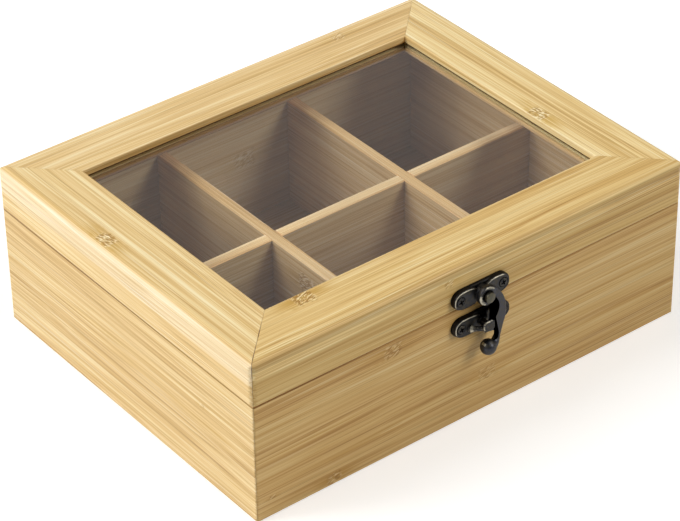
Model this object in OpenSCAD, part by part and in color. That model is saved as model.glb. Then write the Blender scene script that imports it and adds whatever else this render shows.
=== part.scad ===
// Hinged tea bag box: a mitred bamboo base with six compartments, a framed glass
// lid on two small hinges, and a swing hook latch on the front.
// Sizes are in millimetres. The origin is at the middle of the underside, with
// +X to the right along the latch side, +Y towards the hinges and +Z up.

/* [Box] */
// Outside width of the base, along the latch side
box_w = 216; // [180:1:320]
// Outside depth of the base, from the latch side to the hinge side
box_d = 171; // [140:1:260]
// Height of the base, up to the seam
base_h = 55.5; // [40:0.5:100]
// Height of the lid above the seam
lid_h = 20; // [15:0.5:40]
// Thickness of the base walls
wall_t = 8; // [7:0.5:12]
// Radius of the base's upright corners
base_corner_r = 1; // [0.5:0.1:4]
// Radius along the long edges at the seam and the underside
edge_r = 0.7; // [0.2:0.1:1.2]

/* [Bottom and dividers] */
// Thickness of the bottom panel
bottom_t = 4; // [3:0.5:6]
// How far the bottom panel is let into the walls
bottom_rebate = 4; // [2:0.5:5]
// Thickness of the dividers
divider_t = 5; // [3:0.5:8]
// Depth of the grooves that hold the divider ends
divider_groove = 2; // [1:0.5:3]

/* [Lid] */
// Distance that the lid stands out past the base on each side
lid_overhang = 0.45; // [0:0.05:1]
// Thickness of the lid's skirt
skirt_t = 8; // [7:0.5:12]
// Width of the lid frame, seen from above
frame_w = 25; // [20:0.5:40]
// Thickness of the lid frame at the window
frame_t = 8; // [7:0.5:9]
// Radius of the lid's upright corners
lid_corner_r = 2.6; // [0.5:0.1:4]
// Radius along the lid's top outer edge
top_r = 2.8; // [1:0.1:4]
// Radius of the small rounds at the window
window_r = 0.5; // [0.2:0.1:1]

/* [Window pane] */
// Thickness of the glass
pane_t = 2; // [2:0.25:3]
// Distance from the frame's top down to the glass
pane_drop = 3.5; // [2:0.25:4]
// How far the glass reaches into the frame
pane_hold = 4.5; // [3:0.5:6]

/* [Hinges] */
// Distance from each side of the box to the middle of a hinge
hinge_from_side = 43; // [35:0.5:60]
// Length of a hinge along the back edge
hinge_len = 25; // [20:0.5:32]
// Width of a leaf from the hinge axis inwards
leaf_w = 6; // [5.5:0.1:6]
// Thickness of a leaf
leaf_t = 0.9; // [0.7:0.1:1.2]
// Radius of the barrel
knuckle_r = 1.7; // [1.5:0.1:2]
// Radius of the hinge pin
pin_r = 0.75; // [0.6:0.05:0.9]
// Distance from the base's back face in to the hinge axis
hinge_inset = 0.8; // [0.5:0.1:1.2]
// Opening angle at which the bevelled back edges meet
stop_angle = 106.5; // [95:0.5:120]

/* [Latch] */
// Sideways place of the latch from the middle of the front
latch_x = 0.5; // [-20:0.1:20]
// Height of the hook's pivot above the seam
pivot_rise = 5.1; // [5:0.1:7]
// Distance from the seam down to the stud
stud_drop = 8.7; // [7:0.1:11]
// Length of the two latch plates
plate_l = 27.3; // [25:0.1:36]
// Width of the two latch plates
plate_w = 8.6; // [8:0.1:10]
// Thickness of a plate between its raised pads
plate_t = 1.4; // [1:0.1:1.6]
// Thickness of a plate at its raised pads
pad_t = 2.6; // [2.2:0.1:2.8]
// Distance from a plate's end in to its screw
plate_screw_edge = 3.15; // [2.9:0.05:3.6]
// Thickness of the swinging hook
hook_t = 2.3; // [1.8:0.1:3]
// Radius of the hook's eye
eye_r = 4.2; // [3.8:0.1:4.5]
// Radius of the finger ball on the hook's end
ball_r = 3.35; // [2.5:0.05:3.6]
// Radius of the rivet's shank
rivet_r = 1.35; // [1:0.05:1.6]
// Radius of the stud that the hook catches on
stud_r = 1.6; // [1.2:0.1:1.8]

/* [Screws] */
// Radius of the latch screw heads
latch_head_r = 1.95; // [1.6:0.05:2.2]
// Radius of the latch screw shanks
latch_shank_r = 0.9; // [0.7:0.05:1.1]
// Depth of a latch screw in the wood
latch_screw_l = 6; // [4:0.5:6.5]
// Radius of the hinge screw heads
hinge_head_r = 1.6; // [1.4:0.05:1.9]
// Radius of the hinge screw shanks
hinge_shank_r = 0.8; // [0.6:0.05:0.9]
// Length of a hinge screw
hinge_screw_l = 9; // [6:0.5:11]

/* [Clearances] */
// Open gap between the base rim and the lid's skirt
seam_gap = 0.3; // [0.1:0.05:0.6]
// Gap at glued joints and in grooves
glue_gap = 0.1; // [0.05:0.05:0.3]
// Radial clearance of a turning joint
running_gap = 0.05; // [0.02:0.01:0.1]
// Sideways clearance between parts that move past each other
side_gap = 0.2; // [0.1:0.05:0.4]

/* [Hidden] */
$fn = 64;

// Sides of the box, counted in quarter turns from the front
front = 0;
right = 1;
back = 2;
left = 3;

// Heights
seam_z = base_h;
box_h = base_h + lid_h;
rim_z = seam_z - seam_gap / 2;
skirt_z = seam_z + seam_gap / 2;
pane_top_z = box_h - pane_drop;

// Outside of the lid
lid_w = box_w + 2 * lid_overhang;
lid_d = box_d + 2 * lid_overhang;

// Inside of the base: two rows of three equal compartments
inner_w = box_w - 2 * wall_t;
inner_d = box_d - 2 * wall_t;
compartment_w = (inner_w - 2 * divider_t) / 3;
short_divider_x = (compartment_w + divider_t) / 2;
divider_h = rim_z - bottom_t;
divider_reach = divider_groove - glue_gap;
divider_chamfer = 0.4;
lap_z = bottom_t + divider_h / 2;

// Hinge frame: the axis lies on the seam, just inside the back face
hinge_x = box_w / 2 - hinge_from_side;
hinge_y = box_d / 2 - hinge_inset;
knuckle_l = hinge_len / 3;
knuckle_gap = 0.15;
leaf_gap = 0.05;
pocket_r = knuckle_r + 0.3;
pin_head_r = 1.15;
pin_head_t = 0.4;
pocket_l = hinge_len + 2 * (pin_head_t + 0.25);
hinge_screw_x = hinge_len / 2 - 5;
hinge_screw_y = -leaf_w + 1.8;

// Latch frame: distances out from the lid's front face
pivot_z = seam_z + pivot_rise;
stud_z = seam_z - stud_drop;
boss_r = 3.2;
boss_out = pad_t + 0.85;
hook_out = boss_out + side_gap;
eye_rise = 0.3;
rivet_head_r = 2.4;
rivet_head_t = 1.1;
rivet_head_out = hook_out + hook_t + eye_rise + side_gap / 2;
plate_chamfer = 0.5;
pad_inner = 5.6;
pad_end = plate_l / 2 - plate_w / 2;
plate_screw_x = plate_l / 2 - plate_screw_edge;
catch_head_out = hook_out + hook_t + side_gap;
catch_head_t = 1.3;
catch_head_w = 5.6;
catch_head_h = 5;
catch_head_clip = 1.1;
screw_seat_gap = 0.2;
screw_seat_t = 0.7;
screw_head_t = 1.1;
slot_w = 0.5;
slot_t = 0.45;
eps = 0.01;

// Hook, seen from the front with its pivot at the origin
stud_place = [0, -pivot_rise - stud_drop];
notch_r = stud_r + 0.35;
ball_place = stud_place + [1, -11.6];
ball_rise = 0.6;
arm_outer_start = eye_r * [cos(52), sin(52)];
arm_outer_end = stud_place + [6.7, -2.7];
arm_outer_bulge = 4.1;
arm_inner_start = eye_r * [cos(-30), sin(-30)];
arm_inner_end = stud_place + [2.1, 0.6];
arm_inner_bulge = 1.75;

// Points of an arc from p to q that bulges by s to the left of the way from p to q
function bulged(p, q, s, n) =
    let (
        c = norm(q - p),
        r = (c * c / 4 + s * s) / (2 * s),
        along = (q - p) / c,
        out = [-along.y, along.x],
        centre = (p + q) / 2 - out * (r - s),
        first = atan2(p.y - centre.y, p.x - centre.x),
        last = atan2(q.y - centre.y, q.x - centre.x),
        turn = (last - first + 540) % 360 - 180
    )
    [for (i = [0:n]) centre + r * [cos(first + turn * i / n), sin(first + turn * i / n)]];

// Cuts a round of radius r into a flat outline's corner at the origin
module edge_round(r) {
    difference() {
        translate([-1, -1])
            square(r + 1);
        translate([r, r])
            circle(r);
    }
}

// Outline with rounded corners, centred on the origin
module rounded_plate(w, d, r) {
    square([w - 2 * r, d], center = true);
    square([w, d - 2 * r], center = true);
    for (x = [-1, 1])
        for (y = [-1, 1])
            translate([x * (w / 2 - r), y * (d / 2 - r)])
                circle(r);
}

// Places a front piece of a w by d frame on one side, sweeps its flat cross section
// along the side, cuts its ends at 45 degrees and rounds the box's corners
module mitred_rail(side, w, d, t, corner_r) {
    l = side % 2 == 0 ? w : d;
    reach = side % 2 == 0 ? d : w;
    rotate([0, 0, 90 * side])
        intersection() {
            translate([0, -reach / 2, 0])
                rotate([90, 0, 90])
                    linear_extrude(l, center = true)
                        children();
            linear_extrude(box_h)
                intersection() {
                    polygon([
                        [-l / 2 + glue_gap / 2, -reach / 2],
                        [l / 2 - glue_gap / 2, -reach / 2],
                        [l / 2 - glue_gap / 2 - t, t - reach / 2],
                        [t + glue_gap / 2 - l / 2, t - reach / 2]
                    ]);
                    rounded_plate(l, reach, corner_r);
                }
        }
}

// Cross section of a base wall: outer face at 0, inner face at the wall's thickness
module wall_section() {
    difference() {
        square([wall_t, rim_z]);
        translate([wall_t - bottom_rebate, -1])
            square([bottom_rebate + 1, bottom_t + glue_gap + 1]);
        edge_round(edge_r);
        translate([0, rim_z])
            mirror([0, 1])
                edge_round(edge_r);
        translate([wall_t, rim_z])
            rotate(180)
                edge_round(edge_r);
    }
}

module base_wall(side) {
    color("burlywood")
        mitred_rail(side, box_w, box_d, wall_t, base_corner_r)
            wall_section();
}

// Grooves for the ends of the dividers, open at the rim
module divider_grooves() {
    z = bottom_t;
    w = divider_t + 2 * glue_gap;
    translate([-box_w / 2 + wall_t - divider_groove, -w / 2, z])
        cube([box_w - 2 * wall_t + 2 * divider_groove, w, box_h]);
    for (x = [-short_divider_x, short_divider_x])
        translate([x - w / 2, -box_d / 2 + wall_t - divider_groove, z])
            cube([w, box_d - 2 * wall_t + 2 * divider_groove, box_h]);
}

// Moves to the middle of each hinge, on its axis
module at_hinges() {
    for (x = [-hinge_x, hinge_x])
        translate([x, hinge_y, seam_z])
            children();
}

// Space that a hinge needs in the rail below it; the lid's is its mirror image
module hinge_pocket() {
    room = hinge_len + 2 * glue_gap;
    rotate([0, 90, 0])
        cylinder(h = pocket_l, r = pocket_r, center = true);
    translate([-room / 2, -leaf_w - glue_gap, -leaf_gap - leaf_t])
        cube([room, leaf_w + glue_gap, leaf_t + 1]);
    for (x = [-hinge_screw_x, hinge_screw_x])
        translate([x, hinge_screw_y, -hinge_screw_l])
            cylinder(h = hinge_screw_l, r = hinge_shank_r);
}

// Bevel along the back edge at the seam, which stops the open lid
module back_bevel() {
    reach = hinge_inset + lid_overhang + 1;
    translate([0, hinge_y, seam_z])
        rotate([90, 0, 90])
            linear_extrude(lid_w + 2, center = true)
                polygon([[0, 0], [reach, -reach * tan(stop_angle / 2)], [reach, 1], [0, 1]]);
}

// Mirrors what is under the seam to what is over it
module over_seam() {
    translate([0, 0, seam_z])
        mirror([0, 0, 1])
            translate([0, 0, -seam_z])
                children();
}

module base_front_wall() {
    difference() {
        base_wall(front);
        divider_grooves();
        at_latch(box_d / 2, stud_z)
            plate_screw_holes();
    }
}

module base_back_wall() {
    difference() {
        base_wall(back);
        divider_grooves();
        at_hinges()
            hinge_pocket();
        back_bevel();
    }
}

module base_side_wall(side) {
    difference() {
        base_wall(side);
        divider_grooves();
        back_bevel();
    }
}

module base_bottom_panel() {
    w = inner_w + 2 * (bottom_rebate - glue_gap);
    d = inner_d + 2 * (bottom_rebate - glue_gap);
    color("tan")
        translate([-w / 2, -d / 2, 0])
            cube([w, d, bottom_t]);
}

// A divider along X with chamfered top edges, standing on the bottom panel
module divider_board(l) {
    h = rim_z;
    t = divider_t / 2;
    c = divider_chamfer;
    rotate([90, 0, 90])
        linear_extrude(l, center = true)
            polygon([[-t, bottom_t], [t, bottom_t], [t, h - c], [t - c, h], [c - t, h], [-t, h - c]]);
}

module long_divider() {
    slot = divider_t + 2 * glue_gap;
    color("wheat")
        difference() {
            divider_board(inner_w + 2 * divider_reach);
            for (x = [-short_divider_x, short_divider_x])
                translate([x - slot / 2, -divider_t, lap_z - glue_gap / 2])
                    cube([slot, 2 * divider_t, box_h]);
        }
}

module short_divider(x) {
    slot = divider_t + 2 * glue_gap;
    color("wheat")
        translate([x, 0, 0])
            rotate([0, 0, 90])
                difference() {
                    divider_board(inner_d + 2 * divider_reach);
                    translate([-slot / 2, -divider_t, 0])
                        cube([slot, 2 * divider_t, lap_z + glue_gap / 2]);
                }
}

// Cross section of a lid rail: a skirt with a frame over it, grooved for the glass
module rail_section() {
    difference() {
        translate([0, skirt_z])
            square([frame_w, box_h - skirt_z]);
        translate([skirt_t, skirt_z - 1])
            square([frame_w, box_h - frame_t - skirt_z + 1]);
        translate([frame_w - pane_hold - glue_gap, pane_top_z - pane_t - glue_gap])
            square([frame_w, pane_t + 2 * glue_gap]);
        translate([0, box_h])
            mirror([0, 1])
                edge_round(top_r);
        translate([frame_w, box_h])
            rotate(180)
                edge_round(window_r);
        translate([frame_w, box_h - frame_t])
            mirror([1, 0])
                edge_round(window_r);
        translate([0, skirt_z])
            edge_round(edge_r);
        translate([skirt_t, skirt_z])
            mirror([1, 0])
                edge_round(edge_r);
    }
}

module lid_rail(side) {
    color("burlywood")
        mitred_rail(side, lid_w, lid_d, frame_w, lid_corner_r)
            rail_section();
}

module lid_front_rail() {
    difference() {
        lid_rail(front);
        at_latch(lid_d / 2, pivot_z)
            plate_screw_holes();
    }
}

module lid_back_rail() {
    difference() {
        lid_rail(back);
        over_seam()
            at_hinges()
                hinge_pocket();
        over_seam()
            back_bevel();
    }
}

module lid_side_rail(side) {
    difference() {
        lid_rail(side);
        over_seam()
            back_bevel();
    }
}

module window_pane() {
    w = lid_w - 2 * frame_w + 2 * pane_hold;
    d = lid_d - 2 * frame_w + 2 * pane_hold;
    color("lightcyan", 0.35)
        translate([-w / 2, -d / 2, pane_top_z - pane_t])
            cube([w, d, pane_t]);
}

// Cross section of a knuckle with the tongue that joins it to its leaf
module knuckle_section(bore_r) {
    difference() {
        union() {
            circle(knuckle_r);
            translate([-pocket_r - 1, -leaf_gap - leaf_t])
                square([pocket_r + 1, leaf_t]);
        }
        circle(bore_r);
    }
}

// A leaf under the hinge axis with knuckles at the places listed, in knuckle
// lengths from the middle
module hinge_leaf(places, bore_r) {
    difference() {
        union() {
            translate([-hinge_len / 2, -leaf_w, -leaf_gap - leaf_t])
                cube([hinge_len, leaf_w - pocket_r, leaf_t]);
            for (p = places)
                translate([p * knuckle_l, 0, 0])
                    rotate([90, 0, 90])
                        linear_extrude(knuckle_l - knuckle_gap, center = true)
                            knuckle_section(bore_r);
        }
        for (x = [-hinge_screw_x, hinge_screw_x])
            translate([x, hinge_screw_y, 0])
                hinge_screw_body();
    }
}

module base_leaf(x) {
    color("darkgoldenrod")
        translate([x, hinge_y, seam_z])
            hinge_leaf([-1, 1], pin_r);
}

module lid_leaf(x) {
    color("darkgoldenrod")
        over_seam()
            translate([x, hinge_y, seam_z])
                hinge_leaf([0], pin_r + running_gap);
}

module hinge_pin(x) {
    color("dimgray")
        translate([x, hinge_y, seam_z])
            rotate([0, 90, 0]) {
                cylinder(h = hinge_len, r = pin_r, center = true);
                for (z = [-hinge_len / 2 - pin_head_t, hinge_len / 2])
                    translate([0, 0, z])
                        cylinder(h = pin_head_t, r = pin_head_r);
            }
}

// Two crossed slots in a screw head whose top is at the origin
module cross_slot(r) {
    for (a = [45, 135])
        rotate([0, 0, a])
            translate([-r, -slot_w / 2, -slot_t])
                cube([2 * r, slot_w, slot_t + 1]);
}

// A countersunk screw that points down, with its head's top just under the origin
module hinge_screw_body() {
    translate([0, 0, -leaf_gap - leaf_t])
        cylinder(h = leaf_t, r1 = hinge_shank_r, r2 = hinge_head_r);
    translate([0, 0, -hinge_screw_l])
        cylinder(h = hinge_screw_l - leaf_gap - leaf_t + eps, r = hinge_shank_r);
}

module hinge_screws() {
    color("darkgoldenrod")
        at_hinges()
            for (x = [-hinge_screw_x, hinge_screw_x])
                translate([x, hinge_screw_y, 0])
                    difference() {
                        hinge_screw_body();
                        translate([0, 0, -leaf_gap])
                            cross_slot(hinge_head_r * 0.65);
                    }
}

module hinge_base_screws() {
    hinge_screws();
}

module hinge_lid_screws() {
    over_seam()
        hinge_screws();
}

// Frame of a latch plate: its own X to the right, Y up and Z out of the front face
// that lies at the given distance from the middle of the box
module at_latch(face, z) {
    translate([latch_x, -face, z])
        rotate([90, 0, 0])
            children();
}

module at_plate_screws() {
    for (x = [-plate_screw_x, plate_screw_x])
        translate([x, 0, 0])
            children();
}

module plate_screw_holes() {
    at_plate_screws()
        translate([0, 0, -latch_screw_l])
            cylinder(h = latch_screw_l + 1, r = latch_shank_r);
}

// Flat bar with round ends and a chamfered rim, from x0 to x1 between end centres
module round_bar(x0, x1, t) {
    r = plate_w / 2;
    c = plate_chamfer;
    for (x = [x0, x1])
        translate([x, 0, 0]) {
            cylinder(h = t - c, r = r);
            translate([0, 0, t - c])
                cylinder(h = c, r1 = r, r2 = r - c);
        }
    translate([(x0 + x1) / 2, 0, 0])
        rotate([90, 0, 90])
            linear_extrude(x1 - x0, center = true)
                polygon([[-r, 0], [r, 0], [r, t - c], [r - c, t], [c - r, t], [-r, t - c]]);
}

// Plate with a raised pad at each end, before its middle is added
module plate_body() {
    difference() {
        union() {
            round_bar(-pad_end, pad_end, plate_t);
            round_bar(-pad_end, -pad_inner, pad_t);
            round_bar(pad_inner, pad_end, pad_t);
        }
        at_plate_screws() {
            translate([0, 0, pad_t - screw_seat_t])
                cylinder(h = screw_seat_t + 1, r = latch_head_r + screw_seat_gap);
            translate([0, 0, -1])
                cylinder(h = pad_t + 1, r = latch_shank_r);
        }
    }
}

module plate_screws() {
    color("dimgray")
        at_plate_screws()
            difference() {
                union() {
                    intersection() {
                        translate([0, 0, pad_t - screw_seat_t])
                            cylinder(h = screw_head_t, r = latch_head_r);
                        translate([0, 0, pad_t - screw_seat_t + screw_head_t - 3 * latch_head_r])
                            sphere(3 * latch_head_r);
                    }
                    translate([0, 0, -latch_screw_l])
                        cylinder(h = latch_screw_l + pad_t - screw_seat_t + eps, r = latch_shank_r);
                }
                translate([0, 0, pad_t - screw_seat_t + screw_head_t])
                    cross_slot(latch_head_r * 0.7);
            }
}

module latch_plate() {
    color("darkslategray")
        at_latch(lid_d / 2, pivot_z)
            difference() {
                union() {
                    plate_body();
                    cylinder(h = boss_out, r = boss_r);
                }
                translate([0, 0, -1])
                    cylinder(h = boss_out + 2, r = rivet_r);
            }
}

module latch_plate_screws() {
    at_latch(lid_d / 2, pivot_z)
        plate_screws();
}

module latch_rivet() {
    color("darkkhaki")
        at_latch(lid_d / 2, pivot_z) {
            cylinder(h = rivet_head_out + eps, r = rivet_r);
            translate([0, 0, rivet_head_out])
                intersection() {
                    cylinder(h = rivet_head_t, r = rivet_head_r);
                    translate([0, 0, rivet_head_t - 2 * rivet_head_r])
                        sphere(2 * rivet_head_r);
                }
        }
}

// Flat outline of the hook. The arm bows out to the right of the stud, a tooth
// closes under the stud, and a thin neck runs down to the finger ball. Points
// beside the stud are counted from its centre.
module hook_outline() {
    neck_outer = [stud_place + [6, -6.2], stud_place + [5.1, -9.4], ball_place + [3, 0.6]];
    neck_inner = [ball_place, ball_place + [1.8, 2.7], stud_place + [4, -7.9], stud_place + [4.4, -6.8]];
    tooth_under = [stud_place + [4.5, -5.4], stud_place + [3.6, -4.5], stud_place + [1, -4]];
    tooth_tip = [stud_place + [-0.2, -notch_r - 1], stud_place + [-0.2, -notch_r]];
    polygon(concat(
        [[0, 0]],
        bulged(arm_outer_start, arm_outer_end, arm_outer_bulge, 20),
        neck_outer,
        neck_inner,
        tooth_under,
        tooth_tip,
        [for (a = [-90:15:15]) stud_place + notch_r * [cos(a), sin(a)]],
        bulged(arm_inner_start, arm_inner_end, arm_inner_bulge, 12)
    ));
}

module latch_hook() {
    color("darkslategray")
        at_latch(lid_d / 2, pivot_z)
            translate([0, 0, hook_out])
                difference() {
                    union() {
                        linear_extrude(hook_t)
                            hook_outline();
                        cylinder(h = hook_t + eye_rise, r = eye_r);
                        translate([ball_place.x, ball_place.y, hook_t / 2 + ball_rise])
                            sphere(ball_r);
                    }
                    translate([0, 0, -1])
                        cylinder(h = hook_t + eye_rise + 2, r = rivet_r + running_gap);
                }
}

// Head of the stud: a small block with clipped corners
module catch_head() {
    x = catch_head_w / 2;
    y = catch_head_h / 2;
    c = catch_head_clip;
    linear_extrude(catch_head_t)
        polygon([[c - x, -y], [x - c, -y], [x, c - y], [x, y - c], [x - c, y], [c - x, y],
            [-x, y - c], [-x, c - y]]);
}

// The plate under the seam, with the stud, its head and a slanting brace
module catch_plate() {
    head_out = catch_head_out + lid_overhang;
    brace_r = 1.3;
    brace_foot = [-5.1, -1.5, plate_t];
    brace_run = [-1.9, -0.6, head_out + 0.5] - brace_foot;
    brace_l = norm(brace_run);
    color("darkslategray")
        at_latch(box_d / 2, stud_z) {
            plate_body();
            cylinder(h = head_out + eps, r = stud_r);
            translate([0, 0, head_out])
                catch_head();
            translate(brace_foot)
                rotate([0, acos(brace_run.z / brace_l), atan2(brace_run.y, brace_run.x)])
                    cylinder(h = brace_l, r = brace_r);
        }
}

module catch_plate_screws() {
    at_latch(box_d / 2, stud_z)
        plate_screws();
}

base_front_wall();
base_back_wall();
base_side_wall(left);  // base_left_wall
base_side_wall(right);  // base_right_wall
base_bottom_panel();
long_divider();
short_divider(-short_divider_x);  // short_divider_left
short_divider(short_divider_x);  // short_divider_right
lid_front_rail();
lid_back_rail();
lid_side_rail(left);  // lid_left_rail
lid_side_rail(right);  // lid_right_rail
window_pane();
base_leaf(-hinge_x);  // hinge_left_base_leaf
lid_leaf(-hinge_x);  // hinge_left_lid_leaf
hinge_pin(-hinge_x);  // hinge_left_pin
base_leaf(hinge_x);  // hinge_right_base_leaf
lid_leaf(hinge_x);  // hinge_right_lid_leaf
hinge_pin(hinge_x);  // hinge_right_pin
hinge_base_screws();
hinge_lid_screws();
latch_plate();
latch_plate_screws();
latch_rivet();
latch_hook();
catch_plate();
catch_plate_screws();
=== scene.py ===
import math

import bmesh
import bpy
from mathutils import Matrix, Vector


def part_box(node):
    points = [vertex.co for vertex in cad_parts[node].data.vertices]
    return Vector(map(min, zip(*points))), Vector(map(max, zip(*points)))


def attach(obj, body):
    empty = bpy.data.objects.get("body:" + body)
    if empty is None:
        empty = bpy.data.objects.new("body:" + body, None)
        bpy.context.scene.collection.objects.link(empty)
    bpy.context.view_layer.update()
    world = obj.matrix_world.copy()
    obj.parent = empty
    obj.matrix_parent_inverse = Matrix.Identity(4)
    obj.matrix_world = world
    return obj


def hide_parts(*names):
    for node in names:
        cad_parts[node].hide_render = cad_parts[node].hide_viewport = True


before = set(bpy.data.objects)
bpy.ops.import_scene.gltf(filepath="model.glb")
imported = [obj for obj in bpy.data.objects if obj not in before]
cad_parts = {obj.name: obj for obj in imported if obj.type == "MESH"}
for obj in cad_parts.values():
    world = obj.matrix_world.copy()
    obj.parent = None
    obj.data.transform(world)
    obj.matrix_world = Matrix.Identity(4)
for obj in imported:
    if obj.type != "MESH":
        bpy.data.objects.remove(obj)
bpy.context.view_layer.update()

MM = 0.001


# Camera, fitted to ten corners of the box and its window in the photograph
CAMERA_AZIMUTH = math.radians(-37.523)
CAMERA_ELEVATION = math.radians(35.087)
CAMERA_ROLL = math.radians(-0.949)
CAMERA_DISTANCE = 1.1851
CAMERA_TARGET = Vector((-4.90, -5.49, 32.75)) * MM
CAMERA_LENS = 153.22
SENSOR_WIDTH = 36.0


def make_camera():
    azimuth, elevation = CAMERA_AZIMUTH, CAMERA_ELEVATION
    back = Vector((
        math.sin(azimuth) * math.cos(elevation),
        -math.cos(azimuth) * math.cos(elevation),
        math.sin(elevation),
    ))
    level = Vector((math.cos(azimuth), math.sin(azimuth), 0))
    upright = back.cross(level)
    right = level * math.cos(CAMERA_ROLL) + upright * math.sin(CAMERA_ROLL)
    up = upright * math.cos(CAMERA_ROLL) - level * math.sin(CAMERA_ROLL)
    data = bpy.data.cameras.new("camera")
    data.sensor_fit = "HORIZONTAL"
    data.sensor_width = SENSOR_WIDTH
    data.lens = CAMERA_LENS
    data.clip_start = 0.01
    camera = bpy.data.objects.new("camera", data)
    bpy.context.scene.collection.objects.link(camera)
    camera.matrix_world = Matrix((
        (right.x, up.x, back.x, 0),
        (right.y, up.y, back.y, 0),
        (right.z, up.z, back.z, 0),
        (0, 0, 0, 1),
    ))
    camera.location = CAMERA_TARGET + back * CAMERA_DISTANCE
    bpy.context.scene.camera = camera


class Graph:
    """A material's nodes. Each method adds a node and gives back its output socket."""

    def __init__(self, name):
        self.material = bpy.data.materials.new(name)
        self.material.use_nodes = True
        self.tree = self.material.node_tree
        self.tree.nodes.clear()
        self.output = self.node("ShaderNodeOutputMaterial")

    def node(self, kind, **settings):
        made = self.tree.nodes.new(kind)
        for key, value in settings.items():
            setattr(made, key, value)
        return made

    def feed(self, socket, value):
        if isinstance(value, bpy.types.NodeSocket):
            self.tree.links.new(value, socket)
        else:
            socket.default_value = value

    def math(self, operation, *values, clamp=False):
        made = self.node("ShaderNodeMath", operation=operation, use_clamp=clamp)
        for socket, value in zip(made.inputs, values):
            self.feed(socket, value)
        return made.outputs[0]

    def add(self, a, b):
        return self.math("ADD", a, b)

    def mul(self, a, b):
        return self.math("MULTIPLY", a, b)

    def place_mm(self):
        """Places on the piece in millimetres, in the frame that it moves with."""
        made = self.node("ShaderNodeTexCoord")
        scaled = self.node("ShaderNodeVectorMath", operation="SCALE")
        self.feed(scaled.inputs[0], made.outputs["Object"])
        scaled.inputs["Scale"].default_value = 1 / MM
        return scaled.outputs[0]

    def split(self, vector):
        made = self.node("ShaderNodeSeparateXYZ")
        self.feed(made.inputs[0], vector)
        return made.outputs[0], made.outputs[1], made.outputs[2]

    def join(self, x, y, z):
        made = self.node("ShaderNodeCombineXYZ")
        for socket, value in zip(made.inputs, (x, y, z)):
            self.feed(socket, value)
        return made.outputs[0]

    def noise(self, vector, scale=1.0, detail=2.0, roughness=0.5):
        made = self.node("ShaderNodeTexNoise")
        self.feed(made.inputs["Vector"], vector)
        made.inputs["Scale"].default_value = scale
        made.inputs["Detail"].default_value = detail
        made.inputs["Roughness"].default_value = roughness
        return made.outputs["Fac"]

    def cell(self, vector):
        """A fixed random number for each whole-number cell."""
        made = self.node("ShaderNodeTexWhiteNoise")
        self.feed(made.inputs["Vector"], vector)
        return made.outputs["Value"]

    def span(self, value, low, high, to_low=0.0, to_high=1.0, smooth=True):
        made = self.node("ShaderNodeMapRange", clamp=True)
        made.interpolation_type = "SMOOTHSTEP" if smooth else "LINEAR"
        self.feed(made.inputs["Value"], value)
        made.inputs["From Min"].default_value = low
        made.inputs["From Max"].default_value = high
        made.inputs["To Min"].default_value = to_low
        made.inputs["To Max"].default_value = to_high
        return made.outputs["Result"]

    def ramp(self, value, stops):
        made = self.node("ShaderNodeValToRGB")
        elements = made.color_ramp.elements
        elements[0].position, elements[0].color = stops[0][0], (*stops[0][1], 1)
        elements[1].position, elements[1].color = stops[-1][0], (*stops[-1][1], 1)
        for position, colour in stops[1:-1]:
            elements.new(position).color = (*colour, 1)
        self.feed(made.inputs[0], value)
        return made.outputs[0]

    def mix(self, factor, a, b, blend="MIX"):
        made = self.node("ShaderNodeMix", data_type="RGBA", blend_type=blend)
        self.feed(made.inputs["Factor"], factor)
        for socket, value in ((made.inputs[6], a), (made.inputs[7], b)):
            self.feed(socket, (*value, 1) if isinstance(value, tuple) else value)
        return made.outputs[2]

    def shader(self, **values):
        made = self.node("ShaderNodeBsdfPrincipled")
        for key, value in values.items():
            socket = made.inputs[key.replace("_", " ")]
            self.feed(socket, (*value, 1) if isinstance(value, tuple) else value)
        return made.outputs[0]

    def attribute(self, name):
        made = self.node("ShaderNodeAttribute", attribute_name=name)
        return made.outputs["Fac"]

    def bump(self, height, distance):
        made = self.node("ShaderNodeBump")
        made.inputs["Distance"].default_value = distance
        self.feed(made.inputs["Height"], height)
        return made.outputs[0]

    def finish(self, shader):
        self.feed(self.output.inputs["Surface"], shader)
        return self.material


# Bamboo colours, from the darkest fibre to the palest
BAMBOO = [
    (0.14, (0.45, 0.245, 0.070)),
    (0.34, (0.63, 0.405, 0.150)),
    (0.50, (0.745, 0.520, 0.230)),
    (0.66, (0.82, 0.625, 0.320)),
    (0.88, (0.90, 0.765, 0.490)),
]
GOLD = (0.62, 0.370, 0.080)
HALO_GOLD = (0.54, 0.310, 0.055)
OCHRE = (0.36, 0.185, 0.038)
CREAM = (0.90, 0.77, 0.51)
JOINT_LINE = (0.20, 0.095, 0.035)
HAIR_SHADE = (0.62, 0.54, 0.42)
# How far the flecks of a node mark slant from fibres along X and along Y, in degrees
MARK_TURN = (22, -12)
# Thickness of the base's walls in millimetres
WALL_T = 8


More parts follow.
